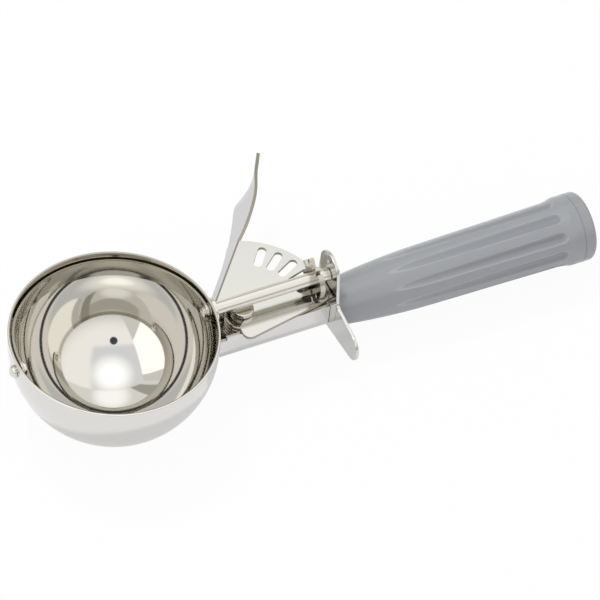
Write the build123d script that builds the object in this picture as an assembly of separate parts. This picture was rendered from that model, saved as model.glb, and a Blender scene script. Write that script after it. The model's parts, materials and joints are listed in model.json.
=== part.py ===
from build123d import *
import os
from math import cos, pi, radians, sin, sqrt, tan

# Lever ice cream scoop, millimetres, +Z up, bowl opening upwards, handle towards +X.
# Everything is drawn about the centre of the bowl's sphere, which lies on the axis of
# the scraper shaft. The finished nodes are then moved so that the origin is the centre
# of the bottom of the overall box.
#
# Squeezing the lever turns its slotted sector about a vertical pin. The slots drive a
# part-toothed pinion on the scraper shaft, and the shaft carries a half-ring blade
# through the bowl.

# ---------------------------------------------------------------- driving dimensions

# Bowl: hemisphere with a straight band above the shaft axis
BOWL_R = 36.0
BOWL_WALL = 1.0
BAND_HEIGHT = 4.5
RIM_ROUND = 0.35

# Scraper blade: strip of a thin sphere just inside the bowl
BLADE_THICK = 0.8
BLADE_WIDTH = 7.2
BLADE_REST_ANGLE = -3.0
BLADE_CLEARANCE = 0.5

# Scraper shaft and what sits on it
SHAFT_R = 2.35
BLADE_SPIGOT_R = 1.5
GUARD_SPIGOT_R = 1.2
PEEN_R = 2.1
PEEN_HEIGHT = 1.0
BLADE_WASHER_R = 2.6
BLADE_WASHER_THICK = 0.5
RETAINER_R = 1.8
RETAINER_LENGTH = 2.4

# Front pivot pin
PIN_R = 1.5
PIN_HEAD_R = 2.3
PIN_HEAD_HEIGHT = 2.0
PIVOT_WASHER_R = 2.6
PIVOT_WASHER_THICK = 0.5

# Shaft bush in the bowl wall
BUSH_WALL = 0.95
BUSH_FLANGE_WIDTH = 1.0
BUSH_FLANGE_THICK = 1.1

# Pinion: its rim has room for eight teeth, and only those that meet a slot are cut
PINION_PITCHES = 8
PINION_FACE = 1.8
PINION_SHIFT = 1.05
PINION_TIP_R = 7.3
PINION_ROOT_R = 4.7
TOOTH_TIP_WIDTH = 1.5
TOOTH_ROOT_WIDTH = 3.1
TOOTH_ROUND = 0.3
LAND_MARGIN = 18.0

# Slotted sector of the lever
SECTOR_R = 32.0
SECTOR_RIM = 1.9
SLOT_WIDTH = 3.1
SLOT_LENGTH = 9.0
SLOT_PITCH = 12.0
SLOT_COUNT = 6
FIRST_SLOT_ANGLE = -8.0
MESH_DEPTH = 0.5
LEVER_SHEET = 1.2
FOLD_OFFSET = 9.5
FOLD_ANGLE = 50.0
NEAR_EDGE_WALL = 0.6
NEAR_EDGE_ANGLE = 10.5
LOBE_REACH = 3.8
LOBE_SIDE = 6.0
LOBE_ROUND = 2.6
LOBE_SMALL_ROUND = 1.4
LEVER_HUB_R = 3.8
SPRING_HOLE_R = 0.85

# Folded flange and thumb paddle of the lever
FLANGE_LEAN = 30.0
FLANGE_HEEL_DROP = 4.0
FLANGE_END_DROP = 7.0
FLANGE_STATIONS = 5
PADDLE_LENGTH = 42.7
PADDLE_WIDTH = 13.6
PADDLE_WIDEST_AT = 0.6
PADDLE_TIP_WIDTH = 2.4
PADDLE_RISE = 3.0
PADDLE_SWEEP = 4.5
PADDLE_TIP_LEAN = 2.0
PADDLE_TWIST_FROM = 0.5
PADDLE_TWIST_TO = 0.85
PADDLE_STATIONS = 11

# Lever pin with its sleeve
LEVER_PIN_R = 2.5
LEVER_PIN_HEAD_R = 3.8
LEVER_PIN_HEAD_HEIGHT = 1.9
SLEEVE_WALL = 1.6
LEVER_PIN_PEEN_R = 3.2
LEVER_PIN_PEEN_HEIGHT = 1.5

# Return spring
SPRING_WIRE_R = 0.65
SPRING_CLEARANCE = 0.6
SPRING_TURNS = 4
SPRING_PITCH = 1.7
SPRING_HOOK_REACH = 2.6
SPRING_HOOK_ANGLE = 6.0

# Shank: pressed U trough
SHANK_LENGTH = 44.5
SHANK_HALF_WIDTH = 8.0
SHANK_SHEET = 1.2
SHANK_DEPTH = 14.5
NEAR_NOTCH_LENGTH = 3.0
NEAR_NOTCH_DEPTH = 1.2
SHANK_SOCKET_LENGTH = 2.4

# Guard plate
GUARD_THICK = 1.2
GUARD_TAB_R = 6.6
GUARD_TAB_TOP = 8.6
GUARD_TAB_SIDE = 0.6
GUARD_BODY_R = 8.4
GUARD_WING_R = 5.7
GUARD_WING_REACH = 24.9
GUARD_WING_RISE = 0.2
GUARD_FILLET = 3.0
HANG_HOLE_R = 1.0
HANG_HOLE_TOP = 3.9
HANG_HOLE_SIDE = 1.6

# Handle
HANDLE_DROP = 17.0
HANDLE_LENGTH = 95.1
HANDLE_NECK_R = 7.9
HANDLE_SHOULDER_R = 10.9
HANDLE_SHOULDER_AT = 36.6
HANDLE_GRIP_R = 11.75
COLLAR_R = 12.6
COLLAR_LENGTH = 4.0
COLLAR_FLARE = 5.0
SEAM_CHAMFER = 0.3
FLUTE_COUNT = 10
FLUTE_ANGLE = 66.4
FLUTE_CUTTER_R = 3.2
FLUTE_NEAR_R = 10.1
FLUTE_DEPTH = 1.0
CAP_LENGTH = 4.5
CAP_ROUND = 1.4
CAP_PLUG_LENGTH = 5.0

# Tang through the handle
TANG_R = 3.0
TANG_SPIGOT_R = 2.2
TANG_SEAT_DEPTH = 17.1
TANG_WASHER_R = 6.0
TANG_WASHER_THICK = 1.2
TANG_NUT_FLATS = 9.0
TANG_NUT_HEIGHT = 4.0
TANG_TAIL = 1.5
NUT_POCKET_R = 6.8

# Clearances
RUNNING = 0.05
SNUG = 0.02
PART_GAP = 0.3
GUARD_GAP = 0.3
SWEEP_GAP = 0.6
SOCKET_SEAM = 0.3

# ---------------------------------------------------------------- derived places

BOWL_INNER_R = BOWL_R - BOWL_WALL
BLADE_R = BOWL_INNER_R - BLADE_CLEARANCE
BLADE_INNER_R = BLADE_R - BLADE_THICK
BUSH_R = SHAFT_R + RUNNING + BUSH_WALL

GUARD_X = BOWL_R + SHANK_LENGTH
GUARD_BACK_X = GUARD_X + GUARD_THICK
LEVER_PIN_X = GUARD_X - GUARD_GAP - SECTOR_R
SLOT_MID_R = SECTOR_R - SECTOR_RIM - SLOT_LENGTH / 2
SLOT_END_R = SECTOR_R - SECTOR_RIM - SLOT_WIDTH / 2
MESH_R = SLOT_MID_R + PINION_SHIFT
PINION_X = LEVER_PIN_X + MESH_R
PITCH_R = MESH_R * radians(SLOT_PITCH) * PINION_PITCHES / (2 * pi)
GEAR_RATIO = 360 / PINION_PITCHES / SLOT_PITCH

PLATE_MID_Z = -(PITCH_R - MESH_DEPTH)
PLATE_TOP_Z = PLATE_MID_Z + LEVER_SHEET / 2
PLATE_BOTTOM_Z = PLATE_MID_Z - LEVER_SHEET / 2

SHANK_TOP_Z = PLATE_BOTTOM_Z - PART_GAP
SHANK_BOTTOM_Z = SHANK_TOP_Z - SHANK_DEPTH
SHANK_CENTRE_Z = SHANK_BOTTOM_Z + SHANK_HALF_WIDTH
SHANK_INNER_HALF = SHANK_HALF_WIDTH - SHANK_SHEET
SHANK_SOCKET_X = GUARD_X - SHANK_SOCKET_LENGTH

SLEEVE_BORE_R = LEVER_PIN_R + RUNNING
SLEEVE_R = SLEEVE_BORE_R + SLEEVE_WALL
SPRING_MEAN_R = SLEEVE_R + SPRING_CLEARANCE + SPRING_WIRE_R
SPRING_TOP_Z = PLATE_BOTTOM_Z - PART_GAP - SPRING_WIRE_R
SPRING_HOOK = (SPRING_MEAN_R, SPRING_HOOK_REACH)

HANDLE_END_X = GUARD_BACK_X + HANDLE_LENGTH
TANG_SEAT = HANDLE_LENGTH - TANG_SEAT_DEPTH
TANG_SEAT_X = GUARD_BACK_X + TANG_SEAT

FOLD_U = Vector(cos(radians(FOLD_ANGLE)), sin(radians(FOLD_ANGLE)), 0)
FOLD_N = Vector(-FOLD_U.Y, FOLD_U.X, 0)
FOLD_END = sqrt(SECTOR_R ** 2 - FOLD_OFFSET ** 2)
UP = Vector(0, 0, 1)


# ---------------------------------------------------------------- small helpers

def rod(radius, x0, x1, y=0.0, z=0.0):
    """Solid cylinder along X from x0 to x1."""
    plane = Plane(origin=(x0, y, z), x_dir=(0, 1, 0), z_dir=(1, 0, 0))
    return extrude(plane * Circle(radius), x1 - x0)


def post(radius, z0, z1, x=0.0, y=0.0):
    """Solid cylinder along Z from z0 to z1."""
    return extrude(Plane(origin=(x, y, z0)) * Circle(radius), z1 - z0)


def dome(radius, height, base, outward):
    """Domed rivet head standing on base."""
    cap = height * 0.6
    ball_r = (radius ** 2 + cap ** 2) / (2 * cap)
    plane = Plane(origin=base, z_dir=outward)
    ball = plane * Pos(0, 0, height - ball_r) * Sphere(ball_r)
    return extrude(plane * Circle(radius), height) & ball


# ---------------------------------------------------------------- bowl end

def make_bowl():
    """Drawn bowl with holes for the front pin and the shaft bush."""
    below = Pos(0, 0, -BOWL_R) * Box(BOWL_R * 3, BOWL_R * 3, BOWL_R * 2)
    outer = (Sphere(BOWL_R) & below) + post(BOWL_R, 0, BAND_HEIGHT)
    inner = (Sphere(BOWL_INNER_R) & below) + post(BOWL_INNER_R, 0, BAND_HEIGHT)
    bowl = outer - inner
    rim = bowl.edges().filter_by(GeomType.CIRCLE).group_by(Axis.Z)[-1]
    bowl = fillet(rim, min(RIM_ROUND, BOWL_WALL * 0.45))
    bowl -= rod(PIN_R + SNUG, -BOWL_R * 2, -BLADE_INNER_R / 2)
    bowl -= rod(BUSH_R + SNUG, BLADE_INNER_R / 2, BOWL_R * 2)
    return bowl


def make_scraper_blade():
    """Half ring that follows the wall, with a round eye on the axis at each end."""
    shell = Sphere(BLADE_R) - Sphere(BLADE_INNER_R)
    slab = Pos(0, BOWL_R, 0) * Box(BOWL_R * 3, BOWL_R * 2, BLADE_WIDTH)
    eyes = rod(BLADE_WIDTH / 2, -BOWL_R, BOWL_R)
    blade = shell & (slab + eyes)
    blade -= rod(PIN_R + RUNNING, -BOWL_R, 0)
    blade -= rod(BLADE_SPIGOT_R + SNUG, 0, BOWL_R)
    return Rot(BLADE_REST_ANGLE, 0, 0) * blade


def washer_seat(radius):
    """Distance from the centre at which a flat washer meets the inside of the blade."""
    return sqrt(BLADE_INNER_R ** 2 - radius ** 2) - SNUG


def make_blade_washer():
    seat = washer_seat(BLADE_WASHER_R)
    washer = rod(BLADE_WASHER_R, seat - BLADE_WASHER_THICK, seat)
    return washer - rod(BLADE_SPIGOT_R + SNUG, 0, BOWL_R)


def make_scraper_shaft():
    """Rod with a shoulder and a peened end at the blade, and a spigot for the guard."""
    peen_x = washer_seat(BLADE_WASHER_R) - BLADE_WASHER_THICK - SNUG
    shaft = rod(SHAFT_R, BLADE_R + SNUG, GUARD_X - PART_GAP)
    shaft += rod(BLADE_SPIGOT_R, peen_x, BLADE_R + SNUG)
    shaft += dome(PEEN_R, PEEN_HEIGHT, (peen_x, 0, 0), (-1, 0, 0))
    shaft += rod(GUARD_SPIGOT_R, GUARD_X - PART_GAP, GUARD_BACK_X + RETAINER_LENGTH / 2)
    return shaft


def make_shaft_retainer():
    """Press-on cap that keeps the shaft in the guard."""
    start = GUARD_BACK_X + PART_GAP
    cap = dome(RETAINER_R, RETAINER_LENGTH, (start, 0, 0), (1, 0, 0))
    return cap - rod(GUARD_SPIGOT_R + SNUG, 0, GUARD_BACK_X + RETAINER_LENGTH / 2 + SNUG)


def make_shaft_bush():
    """Flanged bearing pressed into the bowl wall from outside."""
    seat = BOWL_R + SNUG
    bush = rod(BUSH_R, BOWL_INNER_R - BLADE_CLEARANCE / 2, seat)
    bush += rod(BUSH_R + BUSH_FLANGE_WIDTH, seat, seat + BUSH_FLANGE_THICK)
    return bush - rod(SHAFT_R + RUNNING, 0, BOWL_R * 2)


def pivot_washer_place():
    """Outer and inner face of the washer under the front pin's inner end."""
    outer = -(washer_seat(PIVOT_WASHER_R) - PART_GAP)
    return outer, outer + PIVOT_WASHER_THICK


def make_front_pivot_pin():
    """Rivet through the bowl wall; the blade's front eye turns on it."""
    inner_x = pivot_washer_place()[1] + SNUG
    pin = rod(PIN_R, -BOWL_R - SNUG, inner_x)
    pin += dome(PIN_HEAD_R, PIN_HEAD_HEIGHT, (-BOWL_R - SNUG, 0, 0), (-1, 0, 0))
    pin += dome(PEEN_R, PEEN_HEIGHT, (inner_x, 0, 0), (1, 0, 0))
    return pin


def make_pivot_washer():
    outer, inner = pivot_washer_place()
    return rod(PIVOT_WASHER_R, outer, inner) - rod(PIN_R + SNUG, -BOWL_R, 0)


# ---------------------------------------------------------------- pinion

def make_pinion():
    """Blank with one tapered tooth for each slot; the rest of its rim is left round."""
    foot = PINION_ROOT_R - 1
    tooth = Polygon(
        (foot, -TOOTH_ROOT_WIDTH / 2),
        (PINION_TIP_R, -TOOTH_TIP_WIDTH / 2),
        (PINION_TIP_R, TOOTH_TIP_WIDTH / 2),
        (foot, TOOTH_ROOT_WIDTH / 2),
        align=None,
    )
    tooth = fillet(tooth.vertices().group_by(Axis.X)[-1], TOOTH_ROUND)
    # A tooth stands in each slot, so the teeth take their phase from the first slot.
    first = FIRST_SLOT_ANGLE * GEAR_RATIO - 90
    last = first + (SLOT_COUNT - 1) * 360 / PINION_PITCHES
    outline = Circle(PINION_ROOT_R)
    for k in range(SLOT_COUNT):
        outline += Rot(0, 0, first + k * 360 / PINION_PITCHES) * tooth
    reach = 3 * PINION_TIP_R
    half = (first + 360 - last) / 2 - LAND_MARGIN
    side_x, side_y = reach * cos(radians(half)), reach * sin(radians(half))
    wedge = Polygon((0, 0), (side_x, -side_y), (reach, 0), (side_x, side_y), align=None)
    outline += Rot(0, 0, (first + 360 + last) / 2) * (Circle(PINION_TIP_R) & wedge)
    plane = Plane(origin=(PINION_X - PINION_FACE / 2, 0, 0), x_dir=(0, 1, 0), z_dir=(1, 0, 0))
    return extrude(plane * outline, PINION_FACE) - rod(SHAFT_R + SNUG, 0, GUARD_X)


# ---------------------------------------------------------------- lever

def sector_outline():
    """Plan of the sector plate, about the lever pin."""
    turn = radians(NEAR_EDGE_ANGLE)
    # The near edge leaves a wall beside the first slot.
    slot_end = SLOT_END_R * sin(turn - radians(FIRST_SLOT_ANGLE))
    offset = slot_end + SLOT_WIDTH / 2 + NEAR_EDGE_WALL
    edge_x = offset * sin(turn)
    edge_y = -offset * cos(turn)
    back = (edge_x + LOBE_REACH) / cos(turn)
    corner = (-LOBE_REACH, edge_y - back * sin(turn))
    shoulder = (-LOBE_REACH, -LOBE_SIDE)
    heel = FOLD_N * FOLD_OFFSET
    fold_far = heel + FOLD_U * 2 * SECTOR_R
    edge_far = (edge_x + 2 * SECTOR_R * cos(turn), edge_y + 2 * SECTOR_R * sin(turn))
    mask = Polygon(
        (heel.X, heel.Y),
        (fold_far.X, fold_far.Y),
        edge_far,
        corner,
        shoulder,
        (0, -LEVER_HUB_R * 0.8),
        align=None,
    )
    mask = fillet(mask.vertices().sort_by_distance((*corner, 0))[0], LOBE_ROUND)
    mask = fillet(mask.vertices().sort_by_distance((*shoulder, 0))[0], LOBE_SMALL_ROUND)
    return (mask & Circle(SECTOR_R)) + Circle(LEVER_HUB_R)


def make_sector():
    """Flat plate with the pin hole, the spring hole and the rack of slots."""
    outline = sector_outline() - Circle(LEVER_PIN_R + RUNNING)
    slot = Pos(SLOT_MID_R, 0) * SlotOverall(SLOT_LENGTH, SLOT_WIDTH)
    for k in range(SLOT_COUNT):
        outline -= Rot(0, 0, FIRST_SLOT_ANGLE + k * SLOT_PITCH) * slot
    outline -= Rot(0, 0, SPRING_HOOK_ANGLE) * Pos(*SPRING_HOOK) * Circle(SPRING_HOLE_R)
    return extrude(Pos(LEVER_PIN_X, 0, PLATE_BOTTOM_Z) * outline, LEVER_SHEET, dir=UP)


def fold_section(along, sweep, lean, rise, drop):
    """Section of the folded sheet: it hangs from the fold line and leans outwards."""
    place = Vector(LEVER_PIN_X, 0, PLATE_BOTTOM_Z)
    place += FOLD_U * along + FOLD_N * (FOLD_OFFSET + sweep)
    down = FOLD_N * sin(radians(lean)) - UP * cos(radians(lean))
    plane = Plane(origin=place, x_dir=down, z_dir=FOLD_U)
    return plane * Pos((drop - rise) / 2, LEVER_SHEET / 2) * Rectangle(drop + rise, LEVER_SHEET)


def make_flange():
    """Strip folded down along the straight edge of the sector, with its bend."""
    sections = []
    for k in range(FLANGE_STATIONS):
        share = k / (FLANGE_STATIONS - 1)
        drop = FLANGE_HEEL_DROP + (FLANGE_END_DROP - FLANGE_HEEL_DROP) * share ** 4
        sections.append(fold_section(FOLD_END * share, 0, FLANGE_LEAN, 0, drop))
    wide = LEVER_SHEET * 2
    wedge = Polygon((0, 0), (wide, wide * tan(radians(FLANGE_LEAN))), (wide, wide), (0, wide),
                    align=None)
    heel = Vector(LEVER_PIN_X, 0, PLATE_BOTTOM_Z) + FOLD_N * FOLD_OFFSET
    plane = Plane(origin=heel, x_dir=FOLD_N, z_dir=FOLD_U)
    bend = extrude(plane * (Circle(LEVER_SHEET) & wedge), FOLD_END)
    return loft(sections) + bend


def smooth_step(share, start, end):
    """Rises smoothly from 0 to 1 between start and end."""
    t = min(max((share - start) / (end - start), 0), 1)
    return t * t * (3 - 2 * t)


def paddle_width(share):
    """Width of the leaf: it swells to its widest place and rounds off to the tip."""
    if share < PADDLE_WIDEST_AT:
        swell = sin(pi / 2 * share / PADDLE_WIDEST_AT)
        return FLANGE_END_DROP + (PADDLE_WIDTH - FLANGE_END_DROP) * swell
    past = (share - PADDLE_WIDEST_AT) / (1 - PADDLE_WIDEST_AT)
    return PADDLE_TIP_WIDTH + (PADDLE_WIDTH - PADDLE_TIP_WIDTH) * sqrt(max(1 - past ** 2, 0))


def make_paddle():
    """Leaf-shaped thumb rest that carries the flange on past the sector."""
    sections = []
    for k in range(PADDLE_STATIONS):
        share = 1 - (1 - k / (PADDLE_STATIONS - 1)) ** 1.3
        along = FOLD_END + PADDLE_LENGTH * share
        sweep = PADDLE_SWEEP * share ** 1.7
        twist = smooth_step(share, PADDLE_TWIST_FROM, PADDLE_TWIST_TO)
        lean = FLANGE_LEAN + (PADDLE_TIP_LEAN - FLANGE_LEAN) * twist
        rise = PADDLE_RISE * sin(pi * share ** 0.8)
        sections.append(fold_section(along, sweep, lean, rise, paddle_width(share) - rise))
    return loft(sections)


def make_lever():
    """Sector, flange and paddle are one folded sheet."""
    return make_sector() + make_flange() + make_paddle()


def trough_space(half_width, x0, x1):
    """Round-bottomed space of the shank's section, open at the top."""
    plane = Plane(origin=(x0, 0, SHANK_CENTRE_Z), x_dir=(0, 1, 0), z_dir=(1, 0, 0))
    height = SHANK_TOP_Z - SHANK_CENTRE_Z
    outline = Circle(half_width) & Pos(0, -half_width) * Rectangle(3 * half_width, 2 * half_width)
    outline += Pos(0, height / 2) * Rectangle(2 * half_width, height)
    return extrude(plane * outline, x1 - x0)


def make_lever_pin():
    """Pivot with a round head above the sector, peened to the underside of the shank."""
    seat_z = PLATE_TOP_Z + PART_GAP
    peen_top_z = SHANK_BOTTOM_Z + LEVER_PIN_PEEN_HEIGHT / 2
    pin = post(LEVER_PIN_R, SHANK_BOTTOM_Z, seat_z, LEVER_PIN_X)
    pin += dome(LEVER_PIN_HEAD_R, LEVER_PIN_HEAD_HEIGHT, (LEVER_PIN_X, 0, seat_z), (0, 0, 1))
    peen = dome(LEVER_PIN_PEEN_R, LEVER_PIN_PEEN_HEIGHT, (LEVER_PIN_X, 0, peen_top_z), (0, 0, -1))
    return pin + (peen - trough_space(SHANK_HALF_WIDTH + SNUG, 0, GUARD_X))


def make_spacer_sleeve():
    """Tube on the lever pin, from the trough floor up to the sector plate."""
    tube = post(SLEEVE_R, SHANK_CENTRE_Z, PLATE_BOTTOM_Z - RUNNING, LEVER_PIN_X)
    foot = post(SLEEVE_R, SHANK_BOTTOM_Z, SHANK_CENTRE_Z, LEVER_PIN_X)
    tube += foot & trough_space(SHANK_INNER_HALF - SNUG, 0, GUARD_X)
    return tube - post(SLEEVE_BORE_R, SHANK_BOTTOM_Z, 0, LEVER_PIN_X)


def make_return_spring():
    """Torsion coil with a leg on the near wall and a hook up through the sector."""
    height = SPRING_TURNS * SPRING_PITCH
    path = Helix(SPRING_PITCH, height, SPRING_MEAN_R)
    spring = sweep(Plane(origin=path @ 0, z_dir=path % 0) * Circle(SPRING_WIRE_R), path=path,
                   is_frenet=True)
    turn = radians(SPRING_HOOK_ANGLE)
    leg_reach = (SHANK_INNER_HALF - 2 * PART_GAP + SPRING_MEAN_R * sin(turn)) / cos(turn)
    leg = Plane(origin=path @ 0, z_dir=-(path % 0)) * Circle(SPRING_WIRE_R)
    spring += extrude(leg, leg_reach)
    corner = path @ 1 + path % 1 * SPRING_HOOK_REACH
    tip = corner + UP * (PLATE_TOP_Z - SPRING_TOP_Z + PART_GAP)
    hook = FilletPolyline(path @ 1, corner, tip, radius=SPRING_WIRE_R * 1.5)
    spring += sweep(Plane(origin=path @ 1, z_dir=path % 1) * Circle(SPRING_WIRE_R), path=hook)
    return Pos(LEVER_PIN_X, 0, SPRING_TOP_Z - height) * Rot(0, 0, SPRING_HOOK_ANGLE) * spring


# ---------------------------------------------------------------- shank and guard

def heel_room():
    """Cut in the far wall where the lever's heel lies at rest and swings out."""
    reach = max(FOLD_OFFSET ** 2 - (SHANK_HALF_WIDTH + SWEEP_GAP) ** 2, 0)
    length = LEVER_PIN_X - sqrt(reach) + SWEEP_GAP
    drop = LEVER_SHEET + FLANGE_HEEL_DROP + SWEEP_GAP
    return Pos(length / 2, SHANK_HALF_WIDTH, SHANK_TOP_Z) * Box(length, SHANK_HALF_WIDTH, 2 * drop)


def trough_wall(x0, x1):
    """Length of the trough's sheet."""
    return trough_space(SHANK_HALF_WIDTH, x0, x1) - trough_space(SHANK_INNER_HALF, x0, x1)


def make_shank():
    """Pressed U trough, coped to the bowl and fixed in front of its socket."""
    shank = trough_wall(0, SHANK_SOCKET_X - SOCKET_SEAM) - Sphere(BOWL_R + SNUG)
    notch = Pos(NEAR_NOTCH_LENGTH, -SHANK_HALF_WIDTH, SHANK_TOP_Z)
    shank -= notch * Box(2 * BOWL_R, SHANK_HALF_WIDTH, 2 * NEAR_NOTCH_DEPTH)
    shank -= heel_room()
    return shank - post(LEVER_PIN_R + SNUG, 2 * SHANK_BOTTOM_Z, SHANK_CENTRE_Z, LEVER_PIN_X)


def make_shank_socket():
    """Short length of the same section that stands on the guard behind the seam."""
    return trough_wall(SHANK_SOCKET_X, GUARD_X)


def make_guard_plate():
    """Flat plate with a tab above the shaft and a finger wing on the near side."""
    tab = Pos(GUARD_TAB_SIDE, GUARD_TAB_TOP - GUARD_TAB_R) * Circle(GUARD_TAB_R)
    body = Pos(0, -HANDLE_DROP) * Circle(GUARD_BODY_R)
    wing_y = GUARD_WING_R - GUARD_WING_REACH
    wing = Pos(wing_y, GUARD_WING_RISE - HANDLE_DROP) * Circle(GUARD_WING_R)
    outline = make_hull((tab + body).edges()) + make_hull((body + wing).edges())
    inner_corner = (-GUARD_TAB_R, GUARD_BODY_R - HANDLE_DROP, 0)
    outline = fillet(outline.vertices().sort_by_distance(inner_corner)[0], GUARD_FILLET)
    outline -= Circle(GUARD_SPIGOT_R + RUNNING)
    outline -= Pos(HANG_HOLE_SIDE, GUARD_TAB_TOP - HANG_HOLE_TOP) * Circle(HANG_HOLE_R)
    outline -= Pos(0, -HANDLE_DROP) * Circle(TANG_SPIGOT_R + SNUG)
    plane = Plane(origin=(GUARD_X, 0, 0), x_dir=(0, 1, 0), z_dir=(1, 0, 0))
    return extrude(plane * outline, GUARD_THICK)


# ---------------------------------------------------------------- handle

def handle_profile():
    """Half section of the grip: swelling neck, straight grip and flared collar."""
    flare_x = HANDLE_LENGTH - COLLAR_LENGTH - COLLAR_FLARE
    neck = Vector(0, HANDLE_NECK_R)
    shoulder = Vector(HANDLE_SHOULDER_AT, HANDLE_SHOULDER_R)
    grip = Vector(flare_x, HANDLE_GRIP_R)
    collar = Vector(flare_x + COLLAR_FLARE, COLLAR_R)
    taper = grip - shoulder
    swell = TangentArc(shoulder, neck, tangent=-taper)
    flare = TangentArc(grip, collar, tangent=taper)
    rest = Polyline(collar, (HANDLE_LENGTH, COLLAR_R), (HANDLE_LENGTH, 0), (0, 0), neck)
    return make_face([swell, Line(shoulder, grip), flare, *rest.edges()])


def flute_cutter():
    """Round-ended cutter that runs out where the grip tapers below it."""
    end_x = HANDLE_LENGTH - COLLAR_LENGTH - COLLAR_FLARE
    start = Vector(0, FLUTE_NEAR_R + FLUTE_CUTTER_R, 0)
    end = Vector(end_x, HANDLE_GRIP_R - FLUTE_DEPTH + FLUTE_CUTTER_R, 0)
    plane = Plane(origin=start, z_dir=end - start)
    cutter = extrude(plane * Circle(FLUTE_CUTTER_R), (end - start).length)
    return cutter + Pos(*end) * Sphere(FLUTE_CUTTER_R)


def make_handle():
    """Moulded grip with long flutes, bored for the tang and pocketed for its nut."""
    step = 360 / FLUTE_COUNT
    handle = Rot(FLUTE_ANGLE + step / 2, 0, 0) * revolve(handle_profile(), Axis.X)
    cutter = flute_cutter()
    for k in range(FLUTE_COUNT):
        handle -= Rot(FLUTE_ANGLE + k * step, 0, 0) * cutter
    seam = handle.edges().group_by(Axis.X)[-1].sort_by(SortBy.RADIUS)[-1]
    handle = chamfer(seam, SEAM_CHAMFER)
    handle -= rod(TANG_R + SNUG, 0, HANDLE_LENGTH)
    handle -= rod(NUT_POCKET_R, TANG_SEAT, HANDLE_LENGTH)
    return Pos(GUARD_BACK_X, 0, -HANDLE_DROP) * handle


def make_handle_end_cap():
    """Cap with a plug that fits the nut pocket."""
    cap = rod(COLLAR_R, 0, CAP_LENGTH)
    cap = fillet(cap.edges().group_by(Axis.X)[-1], CAP_ROUND)
    cap = chamfer(cap.edges().group_by(Axis.X)[0], SEAM_CHAMFER)
    cap += rod(NUT_POCKET_R - SNUG, -CAP_PLUG_LENGTH, 0)
    return Pos(HANDLE_END_X, 0, -HANDLE_DROP) * cap


def make_tang():
    """Rod through the grip, riveted into the guard at its front end."""
    end_x = TANG_SEAT_X + TANG_WASHER_THICK + TANG_NUT_HEIGHT + TANG_TAIL
    tang = rod(TANG_SPIGOT_R, GUARD_X + SNUG, GUARD_BACK_X, z=-HANDLE_DROP)
    return tang + rod(TANG_R, GUARD_BACK_X, end_x, z=-HANDLE_DROP)


def make_tang_washer():
    washer = rod(TANG_WASHER_R, TANG_SEAT_X, TANG_SEAT_X + TANG_WASHER_THICK, z=-HANDLE_DROP)
    return washer - rod(TANG_R + SNUG, 0, HANDLE_END_X, z=-HANDLE_DROP)


def make_tang_nut():
    start = TANG_SEAT_X + TANG_WASHER_THICK
    plane = Plane(origin=(start, 0, -HANDLE_DROP), x_dir=(0, 1, 0), z_dir=(1, 0, 0))
    hexagon = RegularPolygon(TANG_NUT_FLATS / 2, 6, major_radius=False)
    nut = extrude(plane * hexagon, TANG_NUT_HEIGHT)
    return nut - rod(TANG_R + SNUG, 0, HANDLE_END_X, z=-HANDLE_DROP)


# ---------------------------------------------------------------- assembly

MAKERS = {
    "bowl": make_bowl,
    "scraper_blade": make_scraper_blade,
    "blade_washer": make_blade_washer,
    "scraper_shaft": make_scraper_shaft,
    "shaft_retainer": make_shaft_retainer,
    "shaft_bush": make_shaft_bush,
    "front_pivot_pin": make_front_pivot_pin,
    "pivot_washer": make_pivot_washer,
    "pinion": make_pinion,
    "lever": make_lever,
    "lever_pin": make_lever_pin,
    "spacer_sleeve": make_spacer_sleeve,
    "return_spring": make_return_spring,
    "shank": make_shank,
    "shank_socket": make_shank_socket,
    "guard_plate": make_guard_plate,
    "handle": make_handle,
    "handle_end_cap": make_handle_end_cap,
    "tang": make_tang,
    "tang_washer": make_tang_washer,
    "tang_nut": make_tang_nut,
}

nodes = {name: make() for name, make in MAKERS.items()}
box = Compound(children=[Part() + shape for shape in nodes.values()]).bounding_box()
ORIGIN = Vector((box.min.X + box.max.X) / 2, (box.min.Y + box.max.Y) / 2, box.min.Z)

os.makedirs("parts", exist_ok=True)
for name, shape in nodes.items():
    placed = Pos(-ORIGIN.X, -ORIGIN.Y, -ORIGIN.Z) * shape
    placed.label = name
    export_step(placed, f"parts/{name}.step")
print("overall", [round(v, 2) for v in box.size])
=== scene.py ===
import json
from math import atan2, cos, hypot, pi, radians, sin, sqrt

import bpy
from mathutils import Matrix, Vector


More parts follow.
